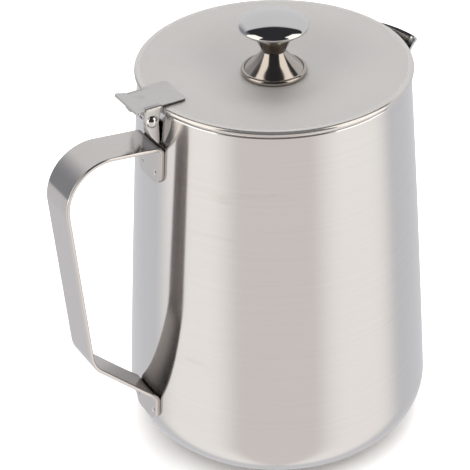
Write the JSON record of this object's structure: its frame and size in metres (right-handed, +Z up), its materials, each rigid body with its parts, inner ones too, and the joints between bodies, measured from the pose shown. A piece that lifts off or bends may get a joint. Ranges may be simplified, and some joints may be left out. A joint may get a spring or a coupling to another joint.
{
  "type": "milk frothing pitcher",
  "caption": "Stainless milk frothing jug with a pressed pouring lip, strap handle and a flat lid with a mushroom knob, hinged over the handle.",
  "frame": {"origin": "centre of the jug's flat underside, where it rests on the table", "axes": "+Z up along the jug's axis; the handle and the lid hinge are on -X, the pouring lip on +X; XZ is the plane of symmetry"},
  "size_m": [0.1829, 0.1388, 0.2056],
  "materials": {
    "jug_steel": "polished stainless steel with a faint vertical draw grain",
    "lid_steel": "satin stainless steel, slightly warm grey",
    "handle_steel": "polished stainless strip with smooth edges",
    "plate_steel": "satin stainless sheet with bright edges",
    "hinge_steel": "plain stainless sheet",
    "pin_steel": "polished rivet",
    "knob_chrome": "mirror-polished stainless steel",
    "fastener_steel": "bright machine screw and washers"
  },
  "bodies": {
    "jug": {"jug_body": "jug_steel", "handle_strap": "handle_steel", "hinge_bracket": "hinge_steel"},
    "lid": {"lid_disc": "lid_steel", "thumb_plate": "plate_steel", "hinge_pin": "pin_steel", "knob_foot": "knob_chrome", "knob_cap": "knob_chrome", "knob_flat_washer": "fastener_steel", "knob_lock_washer": "fastener_steel", "knob_screw": "fastener_steel"}
  },
  "joints": [
    {"name": "lid_hinge", "type": "hinge", "parent": "jug", "child": "lid", "pos_m": [-0.0653, 0, 0.1772], "axis": [0, -1, 0], "range_deg": [0, 110]}
  ]
}
